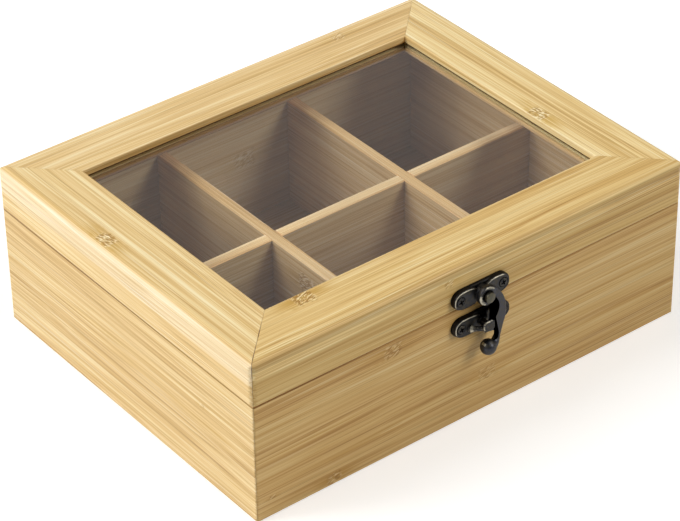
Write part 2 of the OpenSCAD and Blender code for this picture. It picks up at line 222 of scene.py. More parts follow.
def node_mark(g, along, cross, fibres, place, reach, turn, seed):
    """Where a bamboo node crosses the strips at a place: a golden halo drawn out along
    the fibres, slanting dark dashes and pale flecks, each from 0 to 1."""
    u0, c0 = place
    near_u = g.add(along, -u0)
    near_c = g.add(cross, -c0)
    warp = g.noise(g.join(g.mul(near_u, 0.35), g.mul(near_c, 0.35), seed), detail=2)
    warp = g.mul(g.add(warp, -0.5), 1.1)
    far_c = g.add(g.math("ABSOLUTE", g.mul(near_c, 1 / reach)), warp)
    far_u = g.math("ABSOLUTE", near_u)
    halo = g.mul(g.span(far_c, 0.5, 1.25, 1, 0), g.span(far_u, 1.2 * reach, 5.2 * reach, 1, 0))
    halo = g.mul(halo, g.span(fibres(26, 0.8, 2), 0.38, 0.54, 0.10, 1.0))
    core = g.mul(g.span(far_c, 0.7, 1.1, 1, 0), g.span(g.add(far_u, g.mul(warp, 2)), reach, 1.5 * reach, 1, 0))
    cosine, sine = math.cos(turn), math.sin(turn)
    down = g.add(g.mul(near_u, cosine), g.mul(near_c, sine))
    over = g.add(g.mul(near_u, -sine), g.mul(near_c, cosine))
    fleck = g.noise(g.join(g.mul(down, 0.40), g.mul(over, 1.45), seed), detail=2)
    dashes = g.mul(core, g.span(fleck, 0.50, 0.56))
    pale = g.mul(core, g.span(fleck, 0.41, 0.47, 1, 0))
    return halo, dashes, pale


def bamboo(
    name, along_axis, seed, tint=(1, 1, 1), strips=(6.2, 10.4), marks=(), bands=(), corners=None, contrast=1.0,
):
    """Laminated bamboo whose fibres run along one axis. tint multiplies its colours.
    strips are the widths of the laminations, across and up. A mark is a place along
    and across the fibres, a reach in millimetres and a strength. A band is a list of
    limits, each an axis, two ends and a softness, and a colour that multiplies what
    lies between them. corners
    are the half sizes between whose corners the mitres run, and the top's height."""
    g = Graph(name)
    place = g.place_mm()
    x, y, z = g.split(place)
    along, across = (x, y) if along_axis == 0 else (y, x)
    sway = g.noise(g.join(g.mul(along, 0.008), g.mul(across, 0.05), g.mul(z, 0.05)), detail=1)
    sway = g.mul(g.add(sway, -0.5), 2.2)
    across_swayed = g.add(g.add(across, sway), seed)
    up_swayed = g.add(g.add(z, sway), seed * 0.37)

    def fibres(length, width, detail=2.0, roughness=0.5):
        return g.noise(
            g.join(g.mul(along, 1 / length), g.mul(across_swayed, 1 / width), g.mul(up_swayed, 1 / width)),
            detail=detail,
            roughness=roughness,
        )

    strip_a = g.math("FLOOR", g.mul(g.add(across, seed), 1 / strips[0]))
    strip_b = g.math("FLOOR", g.mul(g.add(z, seed), 1 / strips[1]))
    strip = g.cell(g.join(strip_a, strip_b, seed))
    fine = fibres(80, 0.5, 2, 0.55)
    middle = fibres(130, 1.35, 2, 0.5)
    broad = fibres(230, 4.2, 1)
    level = 0.5
    for part, share in ((fine, 0.80), (middle, 0.80), (broad, 0.46), (strip, 0.13)):
        level = g.add(level, g.mul(g.add(part, -0.5), share * contrast))
    colour = g.ramp(level, BAMBOO)
    dark_lines = g.span(fibres(95, 0.62, 1), 0.63, 0.72)
    colour = g.mix(g.mul(dark_lines, 0.50 * contrast), colour, GOLD)
    pale_lines = g.span(fibres(120, 0.85, 1), 0.36, 0.29)
    colour = g.mix(g.mul(pale_lines, 0.45 * contrast), colour, CREAM)
    hair_lines = g.span(fibres(110, 0.30, 1), 0.60, 0.70)
    colour = g.mix(g.mul(hair_lines, 0.55 * contrast), colour, g.mix(1.0, colour, HAIR_SHADE, "MULTIPLY"))
    relief = g.add(g.mul(fine, 0.5), g.mul(dark_lines, -0.6))
    cross = g.add(across, z)
    turn = math.radians(MARK_TURN[along_axis])
    for number, (u0, c0, reach, strength) in enumerate(marks):
        halo, dashes, pale = node_mark(g, along, cross, fibres, (u0, c0), reach, turn, seed + 7.0 * number)
        colour = g.mix(g.mul(halo, 0.85 * strength), colour, HALO_GOLD)
        colour = g.mix(g.mul(pale, 0.85 * strength), colour, CREAM)
        colour = g.mix(g.mul(dashes, 0.85 * strength), colour, OCHRE)
        relief = g.add(relief, g.mul(dashes, -1.2))
    colour = g.mix(1.0, colour, tint, "MULTIPLY")
    for limits, shade in bands:
        inside = 1.0
        for axis, low, high, soft in limits:
            value = (x, y, z)[axis]
            inside = g.mul(inside, g.span(value, low - soft, low + soft))
            inside = g.mul(inside, g.span(value, high - soft, high + soft, 1, 0))
        colour = g.mix(inside, colour, g.mix(1.0, colour, shade, "MULTIPLY"))
    if corners is not None:
        fold = g.add(g.math("ABSOLUTE", x), g.mul(g.math("ABSOLUTE", y), -1))
        half_x, half_y, top = corners
        fold = g.math("ABSOLUTE", g.add(fold, half_y - half_x))
        patchy = g.noise(g.join(g.mul(x, 0.16), g.mul(y, 0.16), g.mul(z, 0.25)), detail=2)
        line = g.mul(g.span(fold, 0.08, 0.40, 1, 0), g.span(patchy, 0.36, 0.60, 0.35, 0.95))
        near = g.mul(g.span(x, 22 - half_x, 14 - half_x, 0, 1), g.span(y, -60, -20, 1, 0))
        near = g.mul(near, g.span(z, top - 17, top - 7, 0.35, 1.0))
        line = g.mul(line, g.span(near, 0.0, 1.0, 0.06, 1.0))
        colour = g.mix(line, colour, JOINT_LINE)
    rough = g.span(broad, 0.3, 0.7, 0.42, 0.56)
    shader = g.shader(
        Base_Color=colour,
        Roughness=rough,
        Specular_IOR_Level=0.35,
        Normal=g.bump(relief, 0.00004),
    )
    return g.finish(shader)


def clear_glass():
    """A thin pane: it lets light through with a faint tint, and mirrors a little of what
    is round it, more so at a slant. Colours are for one of its two faces."""
    g = Graph("clear_glass")
    haze = g.noise(g.place_mm(), scale=0.02, detail=3)
    normal = g.bump(haze, 0.00001)
    path = g.node("ShaderNodeLightPath")
    lamp_ray = g.math("MAXIMUM", path.outputs["Is Shadow Ray"], path.outputs["Is Diffuse Ray"])
    through = g.node("ShaderNodeBsdfTransparent")
    g.feed(through.inputs[0], g.mix(lamp_ray, (0.963, 0.982, 0.989), (0.97, 0.985, 0.99)))
    mirror = g.node("ShaderNodeBsdfGlossy")
    mirror.inputs["Roughness"].default_value = 0.0
    g.feed(mirror.inputs["Normal"], normal)
    slant = g.node("ShaderNodeFresnel")
    slant.inputs["IOR"].default_value = 1.45
    side = g.node("ShaderNodeNewGeometry")
    clear = g.math("MAXIMUM", lamp_ray, side.outputs["Backfacing"])
    share = g.mul(slant.outputs[0], g.span(clear, 0, 1, 2, 0, smooth=False))
    blend = g.node("ShaderNodeMixShader")
    g.feed(blend.inputs[0], share)
    g.feed(blend.inputs[1], through.outputs[0])
    g.feed(blend.inputs[2], mirror.outputs[0])
    return g.finish(blend.outputs[0])


# Painted shade: the black put on the latch's sides, in its recesses and under its heads
PAINTED_SHADE_BLACK = (0.010, 0.009, 0.009)


def antique_metal(name, dark, brown, rubbed_and_lit):
    """Dark plated metal, blotched with brown. Where the mesh's wear value is high it is rubbed bright, partly real wear
    and partly painted highlight, and where it is below zero it is painted black as shade."""
    g = Graph(name)
    place = g.place_mm()
    blotch = g.noise(place, scale=0.62, detail=4, roughness=0.6)
    grit = g.noise(place, scale=2.6, detail=3, roughness=0.65)
    colour = g.mix(g.span(blotch, 0.44, 0.62), dark, brown)
    uneven = g.add(g.mul(g.add(blotch, -0.5), 1.0), g.mul(g.add(grit, -0.5), 0.9))
    wear_and_painted_light = g.attribute("wear_and_painted_light")
    # Where the wear value is below zero: painted shade, black on sides, in recesses and under heads
    colour = g.mix(g.span(wear_and_painted_light, -0.5, -0.05, 0.85, 0.0), colour, PAINTED_SHADE_BLACK)
    # Where it is high: rubbed bright, partly real wear and partly painted highlight on the side facing the lamps
    bright = g.span(g.add(wear_and_painted_light, uneven), 0.36, 1.0)
    colour = g.mix(bright, colour, rubbed_and_lit)
    rough = g.add(g.span(blotch, 0.3, 0.7, 0.30, 0.44), g.mul(grit, 0.10))
    shader = g.shader(
        Base_Color=colour,
        Metallic=1.0,
        Roughness=rough,
        Normal=g.bump(grit, 0.00004),
    )
    return g.finish(shader)


def dress(node, *materials):
    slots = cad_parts[node].data.materials
    slots.clear()
    for material in materials:
        slots.append(material)


def shade_between(tint, wanted):
    """What a band has to multiply by, on wood of one tint, to give another."""
    return tuple(want / has for want, has in zip(wanted, tint))


def dress_wood():
    lid_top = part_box("lid_front_rail")[1].z / MM
    front_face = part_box("lid_front_rail")[0].y / MM
    left_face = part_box("lid_left_rail")[0].x / MM
    base_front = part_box("base_front_wall")[0].y / MM
    base_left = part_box("base_left_wall")[0].x / MM
    pane_low, pane_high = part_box("window_pane")
    back_inner = base_front + WALL_T
    right_inner = base_left + WALL_T
    corners = (-left_face, -front_face, lid_top)
    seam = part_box("base_front_wall")[1].z / MM
    # Painted shade in the seam under the lid: a dark band along the top edge of the base's walls, stronger at the left
    # end of the front
    seam_gap = (2, seam - 0.66, seam - 0.10, 0.08)
    seam_shadow = ([seam_gap], (0.46, 0.35, 0.16))
    seam_shadow_left = ([seam_gap, (0, -300, -62, 26)], (0.60, 0.50, 0.36))
    seam_shadow_front = ([seam_gap], (0.72, 0.63, 0.45))
    # Painted light: the dividers' tops, lit from above through the glass, are painted lighter
    painted_light_tops = [(2, seam - 0.6, seam + 1, 0.15)]
    # Painted shade low inside the box: its wood is painted bluer below about 34 mm
    painted_shade_low = ([(2, -20, 34, 14)], (0.98, 1.0, 1.10))
    # Painted light: the left end of the long divider's top is painted lighter
    painted_light_left_end = ([(2, seam - 0.6, seam + 1, 0.15), (0, -300, -20, 20)], (1.12, 1.10, 1.06))
    pane_top = pane_high.z / MM
    # Painted shadow: a dark line where the pane meets the rails inside the window, and painted shade on the rails'
    # inner faces below the pane
    pane_edge_shadow = (2, pane_top - 0.3, pane_top + 0.62, 0.1)
    shade_under_pane = (2, 0, pane_top - 0.3, 0.1)
    back_inside = (1, 0, pane_high.y / MM - 3.6, 0.1)
    right_inside = (0, 0, pane_high.x / MM - 3.6, 0.1)
    line_shade = (0.13, 0.09, 0.06)
    # Painted shade: the wood inside, under the glass, is painted darker and bluer
    painted_inner_shade = (0.765, 0.785, 0.96)
    # Painted shade on the short dividers and the right wall's inside, lighter and warmer than elsewhere inside, where
    # more light falls
    painted_shade_cross_walls = (0.87, 0.82, 0.90)
    outer_tint = (1.0, 0.99, 0.97)
    # Painted shade: the front faces away from the lamps and is painted darker and more saturated
    painted_front_shade = (0.80, 0.73, 0.59)
    side_strips = (30, 7.4)
    dress("base_front_wall", bamboo(
        "bamboo_base_front", 0, 11, painted_front_shade, side_strips, bands=[seam_shadow_front, seam_shadow_left],
        marks=[(-41.6, base_front + 50.4, 3.2, 0.75), (6.2, base_front + 17.3, 3.4, 0.45),
               (-70.9, base_front + 3.2, 2.6, 0.8), (-100.3, base_front + 8.8, 1.0, 0.6)],
    ))
    dress("base_left_wall", bamboo(
        "bamboo_base_left", 1, 23, (1.01, 1.03, 1.07), side_strips, bands=[seam_shadow],
        marks=[(-52, base_left + 36, 1.3, 0.4)],
    ))
    dress("base_back_wall", bamboo(
        "bamboo_base_back", 0, 37, outer_tint, side_strips, contrast=0.8,
        bands=[seam_shadow, ([(1, -300, -back_inner + 0.5, 0.3)], painted_inner_shade),
               (painted_shade_low[0] + [(1, -300, -back_inner + 0.5, 0.3)], painted_shade_low[1])],
        marks=[(7.7, -back_inner + 34.8, 4.2, 0.5), (-58, -base_front + 22, 3.2, 0.8)],
    ))
    dress("base_right_wall", bamboo(
        "bamboo_base_right", 1, 41, outer_tint, side_strips, contrast=0.8,
        bands=[seam_shadow, ([(0, -300, 0.5 - right_inner, 0.3)], painted_shade_cross_walls),
               (painted_shade_low[0] + [(0, -300, 0.5 - right_inner, 0.3)], painted_shade_low[1])],
        marks=[(31, -base_left + 10, 3.1, 0.8)],
    ))
    dress("base_bottom_panel", bamboo("bamboo_bottom", 0, 53, painted_inner_shade, (19, 30), contrast=0.8))
    dress("long_divider", bamboo(
        "bamboo_long_divider", 0, 61, painted_inner_shade, (30, 18),
        bands=[(painted_light_tops, shade_between(painted_inner_shade, (1.19, 1.09, 1.13))), painted_light_left_end, painted_shade_low],
    ))
    short_light_and_shade = [(painted_light_tops, shade_between(painted_shade_cross_walls, (1.14, 1.02, 1.01))), painted_shade_low]
    short_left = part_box("short_divider_left")[0].x / MM
    dress("short_divider_left", bamboo(
        "bamboo_short_left", 1, 67, painted_shade_cross_walls, (30, 18), bands=short_light_and_shade,
        marks=[(-25, short_left + 46, 4.0, 0.8)],
    ))
    dress("short_divider_right", bamboo(
        "bamboo_short_right", 1, 71, painted_shade_cross_walls, (30, 18), bands=short_light_and_shade,
        marks=[(-48, 31.5 + 40, 3.8, 0.9)],
    ))
    dress("lid_front_rail", bamboo(
        "bamboo_lid_front", 0, 83, (1.01, 0.99, 0.88), (6.1, 13.2), corners=corners,
        marks=[(-67.6, lid_top - 64.5, 3.6, 1.0), (-14.3, front_face + 69.2, 1.7, 0.6)],
        bands=[
            # Painted shade: below its top the front rail is painted darker, like the base's front; then a less yellow
            # band over the lower part of the round and a paler strip below it
            ([(2, 0, lid_top - 1.45, 0.35)], (0.80, 0.77, 0.69)),
            ([(2, lid_top - 4.4, lid_top - 1.5, 0.25)], (1.00, 1.06, 1.22)),
            ([(2, lid_top - 7.9, lid_top - 4.4, 0.3)], (1.24, 1.34, 1.58)),
        ],
    ))
    dress("lid_left_rail", bamboo(
        "bamboo_lid_left", 1, 97, (1.10, 1.13, 1.15), (6.1, 12.6), corners=corners,
        marks=[(14.8, lid_top - 103.6, 3.4, 1.0)],
        bands=[
            ([(2, 0, lid_top - 10.4, 0.5)], (0.95, 0.94, 0.95)),
            ([(2, lid_top - 10.4, lid_top - 0.8, 0.8)], (1.02, 1.10, 1.42)),
        ],
    ))
    dress("lid_back_rail", bamboo(
        "bamboo_lid_back", 0, 103, (1.08, 1.09, 1.11), (6.1, 12.6), corners=corners,
        # Painted shadow line at the pane's edge, and painted shade below the pane on the inner face
        bands=[([pane_edge_shadow, back_inside], line_shade), ([shade_under_pane, back_inside], (0.42, 0.33, 0.32))],
        marks=[(61, lid_top + 79, 2.4, 0.5)],
    ))
    dress("lid_right_rail", bamboo(
        "bamboo_lid_right", 1, 109, (1.15, 1.21, 1.25), (6.1, 12.6), corners=corners,
        # Painted shadow line at the pane's edge, and painted shade below the pane on the inner face
        bands=[([pane_edge_shadow, right_inside], line_shade), ([shade_under_pane, right_inside], (0.84, 0.72, 0.70))],
        marks=[(-22.6, lid_top + 86.8, 3.4, 1.0)],
    ))


def make_stage():
    floor_mesh = bpy.data.meshes.new("floor")
    edge = 6.0
    floor_mesh.from_pydata(
        [(-edge, -edge, 0), (edge, -edge, 0), (edge, edge, 0), (-edge, edge, 0)], [], [(0, 1, 2, 3)]
    )
    floor = bpy.data.objects.new("floor", floor_mesh)
    bpy.context.scene.collection.objects.link(floor)
    g = Graph("floor")
    diffuse = g.node("ShaderNodeBsdfDiffuse")
    diffuse.inputs[0].default_value = (0.80, 0.80, 0.80, 1)
    glow = g.node("ShaderNodeEmission")
    glow.inputs["Strength"].default_value = 0.42
    path = g.node("ShaderNodeLightPath")
    seen = g.math("MAXIMUM", path.outputs["Is Camera Ray"], path.outputs["Is Transmission Ray"])
    seen = g.math("MAXIMUM", seen, path.outputs["Is Glossy Ray"])
    dark = g.node("ShaderNodeEmission")
    dark.inputs["Strength"].default_value = 0.0
    choose = g.node("ShaderNodeMixShader")
    g.feed(choose.inputs[0], seen)
    g.feed(choose.inputs[1], dark.outputs[0])
    g.feed(choose.inputs[2], glow.outputs[0])
    both = g.node("ShaderNodeAddShader")
    g.feed(both.inputs[0], diffuse.outputs[0])
    g.feed(both.inputs[1], choose.outputs[0])
    floor_mesh.materials.append(g.finish(both.outputs[0]))


# Sizes of the latch in millimetres, in a frame with X to the right, Y up and Z out of
# the face that a piece is fixed to
PLATE_END = 13.95
PLATE_HALF = 4.3
PLATE_T = 1.4
PAD_T = 2.6
SCREW_X = 10.7
SEAT_R = 2.15
HEAD_R = 1.95
RIVET_R = 1.35
HOOK_LOW = 3.65
HOOK_HIGH = 5.95
EYE_R = 4.2
STUD_R = 1.6
HEAD_LOW = 6.6
HEAD_HIGH = 7.8
BALL_R = 3.35
TURN_STEPS = 48
# Which of the ball's TURN_STEPS carries a painted highlight, the key lamp's glint, drawn as a bright spot of wear
PAINTED_HIGHLIGHT_TURN = 18
# The side of a raised edge that is rubbed bright, the side that faces the lamps: partly real wear, partly painted
# highlight
RUBBED_AND_LIT_SIDE = Vector((-0.75, 0.66))
# How far right of the stud the catch plate is set
CATCH_SHIFT = 0.8


class Solid:
    """A mesh drawn in a latch frame. Every corner has a wear value up to 1: above zero it is rubbed bright, partly real
    wear and partly painted highlight, and below zero it is painted black as shade.
    """

    def __init__(self, middle, face, height):
        self.middle, self.face, self.height = middle, face, height
        self.bm = bmesh.new()
        self.wear_and_painted_light = self.bm.verts.layers.float.new("wear_and_painted_light")

    def ring(self, points, wear_and_painted_light):
        """One wear-and-light value for the whole ring, or one for each of its points."""
        made = []
        for i, (x, y, z) in enumerate(points):
            vert = self.bm.verts.new((self.middle + x * MM, self.face - z * MM, self.height + y * MM))
            vert[self.wear_and_painted_light] = wear_and_painted_light[i] if isinstance(wear_and_painted_light, list) else wear_and_painted_light
            made.append(vert)
        return made

    def bridge(self, a, b):
        count = len(a)
        for i in range(count):
            j = (i + 1) % count
            self.bm.faces.new((a[i], a[j], b[j], b[i]))

    def skin(self, rings, open_start=False, open_end=False):
        for a, b in zip(rings, rings[1:]):
            self.bridge(a, b)
        if not open_start:
            self.bm.faces.new(rings[0])
        if not open_end:
            self.bm.faces.new(rings[-1])

    def stack(self, outline, levels, open_end=False):
        """Layers an outline: each level is how far in it lies, its height and its wear-and-light value."""
        rings = [
            self.ring([(p.x, p.y, z) for p in inset(outline, inward)], rubbed_and_lit(outline, wear_and_painted_light))
            for inward, z, wear_and_painted_light in levels
        ]
        self.skin(rings, open_end=open_end)
        return rings[-1]

    def lathe(self, centre, levels, steps=TURN_STEPS):
        """Turns a profile about a line out of the face: each level is radius, height, wear-and-light value."""
        rings = [
            self.ring([(p.x, p.y, z) for p in circle(centre, r, steps)], wear_and_painted_light)
            for r, z, wear_and_painted_light in levels
        ]
        self.skin(rings)

    def eye(self, levels, steps=TURN_STEPS):
        """Turns a profile like lathe, rubbed bright at its lower left and along its top, partly real wear and partly
        painted highlight.
        """
        rings = []
        for r, z, wear_and_painted_light in levels:
            eye_wear_and_light = []
            for k in range(steps):
                turn = math.degrees(2 * math.pi * k / steps)
                low_left = min(max((55 - abs(turn - 205)) / 15, 0), 1)
                top = min(max((48 - abs(turn - 75)) / 15, 0), 0.8)
                eye_wear_and_light.append(wear_and_painted_light * max(low_left, top, 0.12) if wear_and_painted_light > 0 else wear_and_painted_light)
            rings.append(self.ring([(p.x, p.y, z) for p in circle((0, 0), r, steps)], eye_wear_and_light))
        self.skin(rings)

    def tube(self, stations, steps=20, power=2.0):
        """Round bar through stations: a centre, half width, half thickness and wear-and-light value."""
        rings = []
        for i, (centre, half_w, half_t, wear_and_painted_light) in enumerate(stations):
            before = stations[max(i - 1, 0)][0]
            after = stations[min(i + 1, len(stations) - 1)][0]
            run = (Vector(after) - Vector(before)).normalized()
            up = Vector((0, 0, 1))
            if abs(run.z) > 0.9:
                up = Vector((0, 1, 0))
            side = run.cross(up).normalized()
            up = side.cross(run).normalized()
            points = []
            for k in range(steps):
                a = 2 * math.pi * k / steps
                ca, sa = math.cos(a), math.sin(a)
                across = math.copysign(abs(ca) ** (2 / power), ca) * half_w
                out = math.copysign(abs(sa) ** (2 / power), sa) * half_t
                points.append(Vector(centre) + side * across + up * out)
            rings.append(self.ring(points, wear_and_painted_light))
        self.skin(rings)

    def finish(self, name, material, body, node, crease=35):
        bmesh.ops.remove_doubles(self.bm, verts=self.bm.verts, dist=1e-7)
        bmesh.ops.recalc_face_normals(self.bm, faces=self.bm.faces)
        mesh = bpy.data.meshes.new(name)
        self.bm.to_mesh(mesh)
        self.bm.free()
        for polygon in mesh.polygons:
            polygon.use_smooth = True
        mesh.set_sharp_from_angle(angle=math.radians(crease))
        mesh.materials.append(material)
        piece = bpy.data.objects.new(name, mesh)
        bpy.context.scene.collection.objects.link(piece)
        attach(piece, body)
        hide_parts(node)
        return piece


def circle(centre, r, steps=TURN_STEPS):
    return [
        Vector((centre[0] + r * math.cos(2 * math.pi * k / steps), centre[1] + r * math.sin(2 * math.pi * k / steps)))
        for k in range(steps)
    ]


def inset(outline, distance):
    """The outline, listed counter-clockwise, moved inwards."""
    count = len(outline)
    moved = []
    for i, point in enumerate(outline):
        run = (outline[(i + 1) % count] - outline[i - 1]).normalized()
        moved.append(point + Vector((-run.y, run.x)) * distance)
    return moved


def rubbed_and_lit(outline, wear_and_painted_light):
    """The wear value of each point, less where the outline faces away from the lamps: the rims are partly really rubbed
    and partly painted with a highlight on their lit side.
    """
    if wear_and_painted_light <= 0:
        return wear_and_painted_light
    count = len(outline)
    found = []
    for i in range(count):
        run = (outline[(i + 1) % count] - outline[i - 1]).normalized()
        facing = Vector((run.y, -run.x)).dot(RUBBED_AND_LIT_SIDE)
        found.append(wear_and_painted_light * min(max(0.25 + 1.3 * facing, 0.06), 1.0))
    return found


def smooth_outline(corners, steps=6):
    """A closed curve through the corners, listed counter-clockwise."""
    points = [Vector(c) for c in corners]
    count = len(points)
    area = sum(points[i - 1].x * points[i].y - points[i].x * points[i - 1].y for i in range(count))
    if area < 0:
        points.reverse()
    curve = []
    for i in range(count):
        a, b, c, d = points[i - 1], points[i], points[(i + 1) % count], points[(i + 2) % count]
        for k in range(steps):
            t = k / steps
            curve.append(0.5 * (
                2 * b + (c - a) * t + (2 * a - 5 * b + 4 * c - d) * t * t + (3 * b - a - 3 * c + d) * t ** 3
            ))
    return curve


def seen_from(outline, centre, steps=TURN_STEPS):
    """The outline's points in even directions from a centre inside it."""
    centre = Vector(centre)
    found = []
    for k in range(steps):
        a = 2 * math.pi * k / steps
        toward = Vector((math.cos(a), math.sin(a)))
        best = 0
        for i in range(len(outline)):
            p, q = outline[i - 1] - centre, outline[i] - centre
            edge = q - p
            spread = toward.x * edge.y - toward.y * edge.x
            if abs(spread) < 1e-9:
                continue
            reach = (p.x * edge.y - p.y * edge.x) / spread
            share = (p.x * toward.y - p.y * toward.x) / spread
            if -1e-6 <= share <= 1 + 1e-6 and reach > best:
                best = reach
        found.append(centre + toward * best)
    return found


def bar_outline(left, right, half, end_steps=12):
    outline = []
    for middle, first in ((right - half, -90), (left + half, 90)):
        for k in range(end_steps + 1):
            a = math.radians(first + 180 * k / end_steps)
            outline.append(Vector((middle + half * math.cos(a), half * math.sin(a))))
    return outline


def add_pad(solid, corners, screw):
    """A raised pad with a rim rubbed bright, partly real wear and partly painted highlight, a slightly sunk field and a
    seat for its screw; the pad's sides and the seat are painted black as shade.
    """
    outline = seen_from(smooth_outline(corners), screw)
    levels = [
        (0.0, 0.2, -0.5), (0.0, 1.9, -0.35), (0.12, 2.28, 0.2), (0.30, 2.54, 0.95),
        (0.52, 2.60, 0.80), (0.74, 2.52, 0.15), (0.95, 2.42, 0.0),
    ]
    edge = solid.stack(outline, levels, open_end=True)
    rings = [edge]
    seat = ((SEAT_R + 0.35, 2.42, 0.0), (SEAT_R + 0.08, 2.38, 0.15), (SEAT_R, 2.25, -0.3), (SEAT_R, 1.9, -0.5))
    for r, z, wear_and_painted_light in seat:
        rings.append(solid.ring([(p.x, p.y, z) for p in circle(screw, r)], wear_and_painted_light))
    solid.skin(rings, open_start=True)


def mirrored(corners):
    return [(-x, y) for x, y in corners]


LEFT_PAD = [
    (-13.9, 0.4), (-13.4, 2.35), (-11.6, 3.85), (-9.2, 4.25), (-6.2, 4.28), (-3.9, 3.75), (-2.3, 2.5),
    (-1.9, 0.6), (-2.0, -1.6), (-2.6, -3.4), (-4.4, -4.2), (-7.2, -4.28), (-9.8, -4.25), (-12.4, -3.2), (-13.7, -1.6),
]


# The plate's sides are painted black as shade, darkest where they meet the wood
PLATE_LEVELS = [(0, 0, -0.5), (0, 0.9, -0.5), (0.18, 1.25, -0.25), (0.5, PLATE_T, -0.1), (0.9, PLATE_T, -0.1)]


def make_latch_plate(middle, face, height, material):
    plate = Solid(middle, face, height)
    plate.stack(
        bar_outline(-PLATE_END, PLATE_END, PLATE_HALF),
        PLATE_LEVELS,
    )
    add_pad(plate, LEFT_PAD, (-SCREW_X, 0))
    add_pad(plate, mirrored(LEFT_PAD), (SCREW_X, 0))
    plate.lathe((0, 0), [(3.3, 0.3, -0.4), (3.3, 3.0, 0.3), (3.05, 3.4, 0.85), (2.6, 3.45, 0.3), (RIVET_R + 0.02, 3.45, 0)])
    plate.finish("latch_plate_shape", material, "lid", "latch_plate")


# The shank and the side of the head are painted black as shade; the head's rim is rubbed bright
SCREW_LEVELS = [
    (0.9, -5.5, 0), (0.9, 1.85, -0.5), (HEAD_R, 1.95, -0.5), (HEAD_R, 2.30, -0.2), (1.80, 2.60, 0.45), (1.5, 2.72, 0.15),
]


def make_screws(name, node, body, middle, face, height, material):
    screws = Solid(middle, face, height)
    half, reach = 0.36, 1.25
    for x in (-SCREW_X, SCREW_X):
        cross = []
        for k in range(TURN_STEPS):
            a = 2 * math.pi * k / TURN_STEPS + math.radians(3.75)
            ca, sa = abs(math.cos(a - math.radians(20))), abs(math.sin(a - math.radians(20)))
            r = max(min(reach / ca, half / sa), min(half / ca, reach / sa))
            cross.append(Vector((x + r * math.cos(a), r * math.sin(a))))
        rings = []
        for r, z, wear_and_painted_light in SCREW_LEVELS:
            points = [
                (x + r * math.cos(2 * math.pi * k / TURN_STEPS + math.radians(3.75)),
                 r * math.sin(2 * math.pi * k / TURN_STEPS + math.radians(3.75)), z)
                for k in range(TURN_STEPS)
            ]
            rings.append(screws.ring(points, wear_and_painted_light))
        # The slot is painted black as shade
        rings.append(screws.ring([(p.x, p.y, 2.80) for p in cross], 0.05))
        rings.append(screws.ring([(x + (p.x - x) * 0.95, p.y * 0.95, 2.55) for p in cross], -0.5))
        rings.append(screws.ring([(x + (p.x - x) * 0.8, p.y * 0.8, 1.95) for p in cross], -0.5))
        screws.skin(rings)
    screws.finish(name, material, body, node)


def make_rivet(middle, face, height, material):
    rivet = Solid(middle, face, height)
    # The shank and the side of the head are painted black as shade; its top rim is rubbed bright
    rivet.lathe((0, 0), [
        (RIVET_R, 0.1, 0), (RIVET_R, 5.6, -0.5), (2.15, 5.62, -0.5), (2.30, 5.85, -0.5), (2.34, 7.40, -0.3),
        (2.24, 7.72, 0.15), (1.95, 7.90, 0.28), (1.1, 8.00, 0.14), (0.4, 8.04, 0.14),
    ])
    rivet.finish("latch_rivet_shape", material, "lid", "latch_rivet")


